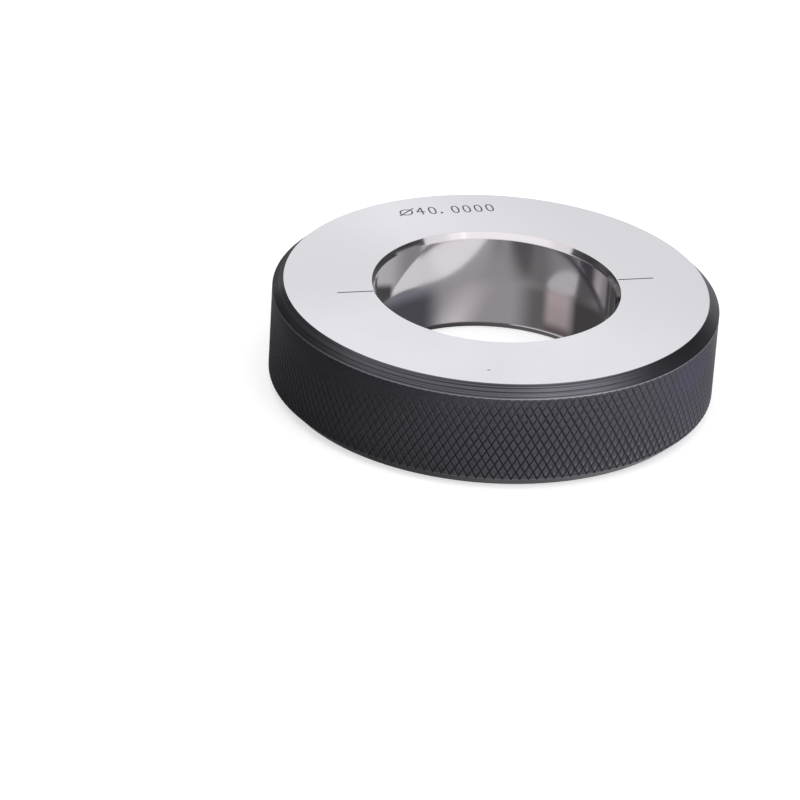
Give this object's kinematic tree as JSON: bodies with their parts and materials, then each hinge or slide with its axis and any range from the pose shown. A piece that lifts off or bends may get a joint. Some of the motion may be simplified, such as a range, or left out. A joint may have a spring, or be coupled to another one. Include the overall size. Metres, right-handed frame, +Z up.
{
  "type": "plain setting ring gauge",
  "caption": "Plain setting ring gauge: a knurled hardened steel ring with a lapped bore and two index lines for setting bore-measuring instruments.",
  "frame": {"origin": "centre of the bore on the lower face, on the plane that the ring lies on", "axes": "+Z up along the bore axis, +X along the two engraved index lines that mark the measuring diameter"},
  "size_m": [0.074, 0.074, 0.018],
  "materials": {
    "steel": "hardened steel, black-oxided knurled rim and chamfers, finely ground faces, lapped mirror-bright bore"
  },
  "bodies": {
    "root": {"ring": "steel"}
  },
  "joints": []
}
